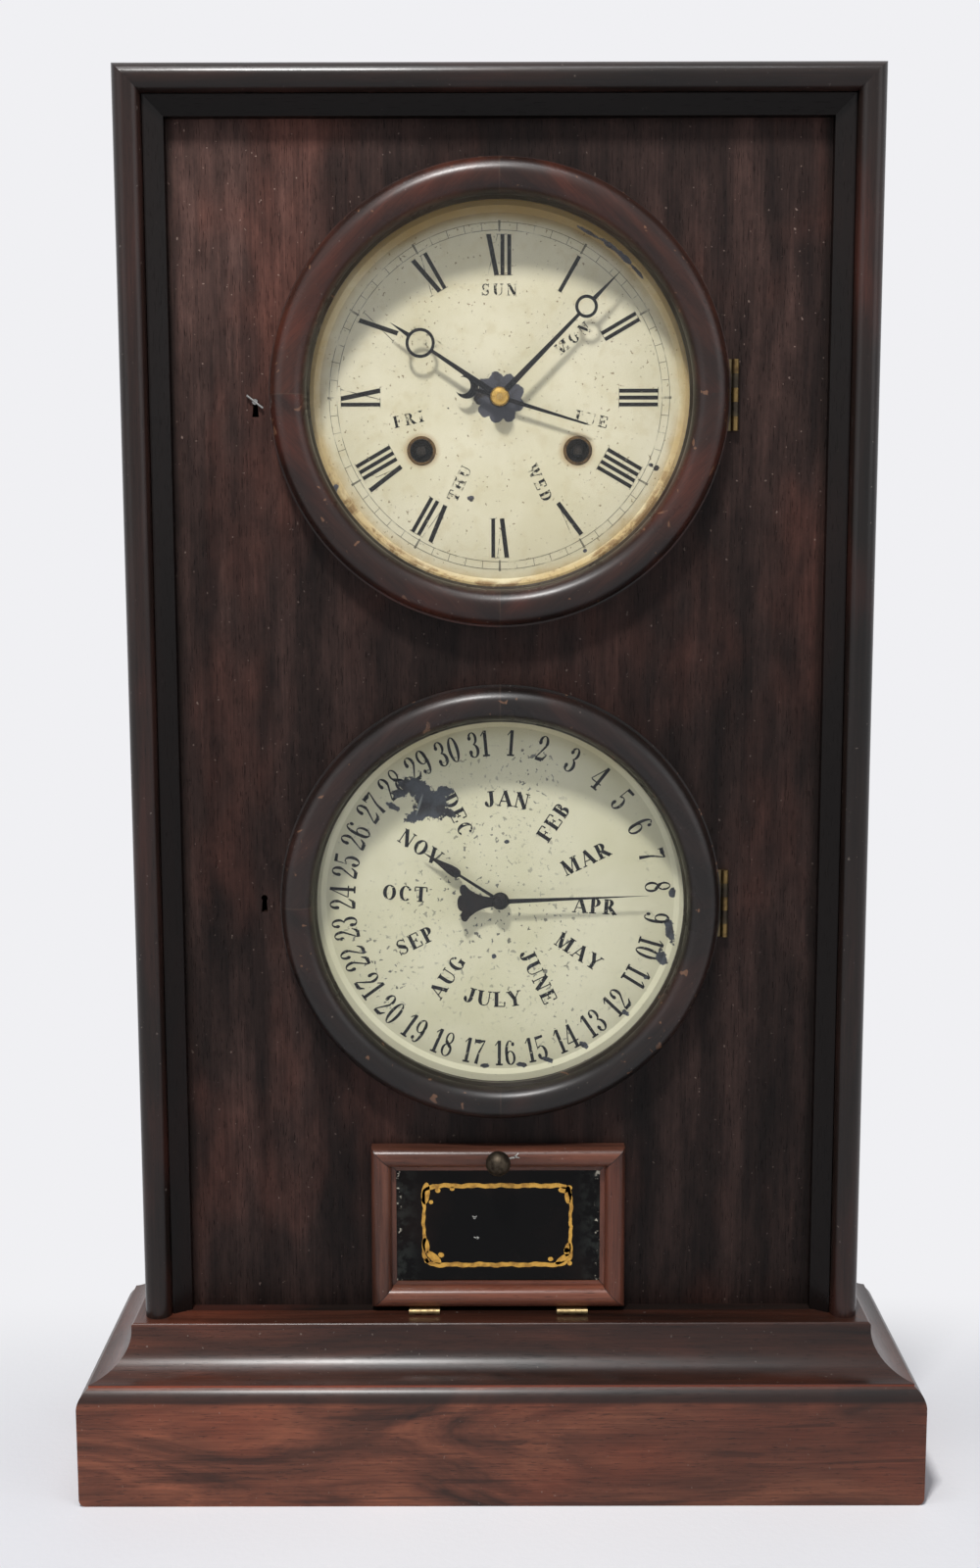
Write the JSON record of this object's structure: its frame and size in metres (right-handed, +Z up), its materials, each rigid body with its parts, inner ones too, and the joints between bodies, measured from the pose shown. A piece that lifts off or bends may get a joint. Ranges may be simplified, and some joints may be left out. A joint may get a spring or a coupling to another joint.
{
  "type": "calendar shelf clock",
  "caption": "Wooden shelf clock with a glazed time dial over a glazed calendar dial, moulded frame, tablet door and a spring-driven pendulum movement inside",
  "frame": {"origin": "Middle of the rectangle that the base stands on, on the shelf surface", "axes": "+Z up, -Y towards the viewer in front of the dials, +X to the viewer's right"},
  "size_m": [0.471, 0.142, 0.781],
  "materials": {
    "rosewood_base": "figured rosewood veneer, satin",
    "rosewood_case": "dark rosewood veneer, satin",
    "rosewood_frame": "dark rosewood moulding, satin",
    "rosewood_bezel": "turned dark rosewood, polished",
    "rosewood_door": "rosewood moulding, satin",
    "pine": "plain stained softwood",
    "dial_white_upper": "aged cream paint, printed numerals",
    "dial_white_lower": "aged cream paint, printed numerals, chipped",
    "clear_glass": "clear window glass",
    "black_glass": "black backed glass with a gilt scroll border",
    "brass": "worn brass",
    "brass_dark": "tarnished brass",
    "movement_brass": "dull movement brass",
    "blued_steel": "blued steel, near black",
    "steel": "grey steel",
    "spring_steel": "blue tempered spring steel",
    "iron": "dark cast iron",
    "knob_metal": "dark worn brass knob"
  },
  "bodies": {
    "case": {"base_front": "rosewood_base", "base_left": "rosewood_base", "base_right": "rosewood_base", "base_board": "pine", "side_left": "rosewood_case", "side_right": "rosewood_case", "top_board": "rosewood_case", "back_board": "pine", "front_panel": "rosewood_case", "frame_left": "rosewood_frame", "frame_right": "rosewood_frame", "frame_top": "rosewood_frame", "dial_time": "dial_white_upper", "dial_calendar": "dial_white_lower", "dial_grommets": "brass_dark", "bezel_hinge_leaves": "brass_dark", "door_hinge_leaves": "brass", "calendar_frame": "movement_brass", "plate_front": "movement_brass", "plate_back": "movement_brass", "movement_rails": "pine", "mainsprings": "spring_steel", "suspension_cock": "brass", "gong": "spring_steel", "gong_block": "iron"},
    "upper_bezel": {"bezel_upper": "rosewood_bezel", "glass_upper": "clear_glass", "leaf_upper": "brass_dark"},
    "lower_bezel": {"bezel_lower": "rosewood_bezel", "glass_lower": "clear_glass", "leaf_lower": "brass_dark"},
    "tablet_door": {"door_frame": "rosewood_door", "door_glass": "black_glass", "door_knob": "knob_metal", "door_leaves": "brass"},
    "latch": {"latch_hook": "steel"},
    "minute": {"minute_hand": "blued_steel", "hand_nut": "brass", "cannon_pinion": "movement_brass"},
    "hour": {"hour_hand": "blued_steel", "hour_wheel": "movement_brass"},
    "minute_gear": {"minute_wheel": "movement_brass"},
    "weekday": {"day_hand": "blued_steel"},
    "date": {"date_hand": "blued_steel", "date_wheel": "movement_brass"},
    "month": {"month_hand": "blued_steel", "month_wheel": "movement_brass"},
    "month_gear": {"month_idler": "movement_brass"},
    "great": {"time_great_wheel": "movement_brass"},
    "winding": {"time_arbor": "steel"},
    "centre": {"centre_wheel": "movement_brass"},
    "third": {"third_wheel": "movement_brass"},
    "escape": {"escape_wheel": "movement_brass"},
    "strike_great": {"strike_great_wheel": "movement_brass"},
    "strike_winding": {"strike_arbor": "steel"},
    "pins": {"pin_wheel": "movement_brass"},
    "hammer": {"hammer": "steel"},
    "verge": {"verge": "steel"},
    "pendulum": {"pendulum_rod": "steel", "pendulum_bob": "brass"}
  },
  "joints": [
    {"name": "upper_bezel_open", "type": "hinge", "parent": "case", "child": "upper_bezel", "pos_m": [0.1273, -0.0208, 0.611], "axis": [0, 0, 1], "range_deg": [0, 105]},
    {"name": "lower_bezel_open", "type": "hinge", "parent": "case", "child": "lower_bezel", "pos_m": [0.1257, -0.0208, 0.3315], "axis": [0, 0, 1], "range_deg": [0, 105]},
    {"name": "door_open", "type": "hinge", "parent": "case", "child": "tablet_door", "pos_m": [-0.0015, -0.0323, 0.0968], "axis": [1, 0, 0], "range_deg": [0, 90]},
    {"name": "latch_turn", "type": "hinge", "parent": "case", "child": "latch", "pos_m": [-0.1325, -0.0185, 0.608], "axis": [0, 1, 0], "range_deg": [-50, 50]},
    {"name": "minute_turn", "type": "hinge", "parent": "case", "child": "minute", "pos_m": [0, -0.0185, 0.611], "axis": [0, 1, 0], "continuous": true},
    {"name": "hour_turn", "type": "hinge", "parent": "case", "child": "hour", "pos_m": [0, -0.0185, 0.611], "axis": [0, 1, 0], "continuous": true},
    {"name": "minute_gear_turn", "type": "hinge", "parent": "case", "child": "minute_gear", "pos_m": [-0.00547, -0.0185, 0.59596], "axis": [0, 1, 0], "continuous": true},
    {"name": "weekday_turn", "type": "hinge", "parent": "case", "child": "weekday", "pos_m": [0, -0.0185, 0.611], "axis": [0, 1, 0], "continuous": true},
    {"name": "date_turn", "type": "hinge", "parent": "case", "child": "date", "pos_m": [0, -0.0185, 0.3315], "axis": [0, 1, 0], "continuous": true},
    {"name": "month_turn", "type": "hinge", "parent": "case", "child": "month", "pos_m": [0, -0.0185, 0.3315], "axis": [0, 1, 0], "continuous": true},
    {"name": "month_gear_turn", "type": "hinge", "parent": "case", "child": "month_gear", "pos_m": [-0.00547, -0.0185, 0.31646], "axis": [0, 1, 0], "continuous": true},
    {"name": "winding_turn", "type": "hinge", "parent": "case", "child": "winding", "pos_m": [0.043, -0.0185, 0.5825], "axis": [0, 1, 0], "continuous": true},
    {"name": "third_turn", "type": "hinge", "parent": "case", "child": "third", "pos_m": [0.01422, -0.0185, 0.63742], "axis": [0, 1, 0], "continuous": true},
    {"name": "great_turn", "type": "hinge", "parent": "case", "child": "great", "pos_m": [0.043, -0.0185, 0.5825], "axis": [0, 1, 0], "continuous": true},
    {"name": "centre_turn", "type": "hinge", "parent": "case", "child": "centre", "pos_m": [0, -0.0185, 0.611], "axis": [0, 1, 0], "continuous": true},
    {"name": "escape_turn", "type": "hinge", "parent": "case", "child": "escape", "pos_m": [0, -0.0185, 0.656], "axis": [0, 1, 0], "continuous": true},
    {"name": "pin_wheel_turn", "type": "hinge", "parent": "case", "child": "pins", "pos_m": [-0.034, -0.0185, 0.6272], "axis": [0, 1, 0], "continuous": true},
    {"name": "strike_great_turn", "type": "hinge", "parent": "case", "child": "strike_great", "pos_m": [-0.043, -0.0185, 0.5825], "axis": [0, 1, 0], "continuous": true},
    {"name": "strike_winding_turn", "type": "hinge", "parent": "case", "child": "strike_winding", "pos_m": [-0.043, -0.0185, 0.5825], "axis": [0, 1, 0], "continuous": true},
    {"name": "hammer_lift", "type": "hinge", "parent": "case", "child": "hammer", "pos_m": [-0.07, -0.0185, 0.618], "axis": [0, 1, 0], "range_deg": [-4.5, 0]},
    {"name": "pendulum_swing", "type": "hinge", "parent": "case", "child": "pendulum", "pos_m": [0, -0.0185, 0.6795], "axis": [0, 1, 0], "range_deg": [-2.5, 2.5]},
    {"name": "verge_swing", "type": "hinge", "parent": "case", "child": "verge", "pos_m": [0, -0.0185, 0.6795], "axis": [0, 1, 0], "range_deg": [-2.5, 2.5]}
  ],
  "couplings": [
    {"joint": "hour_turn", "follows": "minute_turn", "ratio": 0.083333},
    {"joint": "minute_gear_turn", "follows": "minute_turn", "ratio": -0.33333},
    {"joint": "month_turn", "follows": "date_turn", "ratio": 0.083333},
    {"joint": "month_gear_turn", "follows": "date_turn", "ratio": -0.33333},
    {"joint": "centre_turn", "follows": "third_turn", "ratio": -0.11111},
    {"joint": "great_turn", "follows": "third_turn", "ratio": 0.0092593},
    {"joint": "escape_turn", "follows": "third_turn", "ratio": -8.75},
    {"joint": "strike_great_turn", "follows": "pin_wheel_turn", "ratio": -0.095238},
    {"joint": "verge_swing", "follows": "pendulum_swing", "ratio": 1}
  ]
}
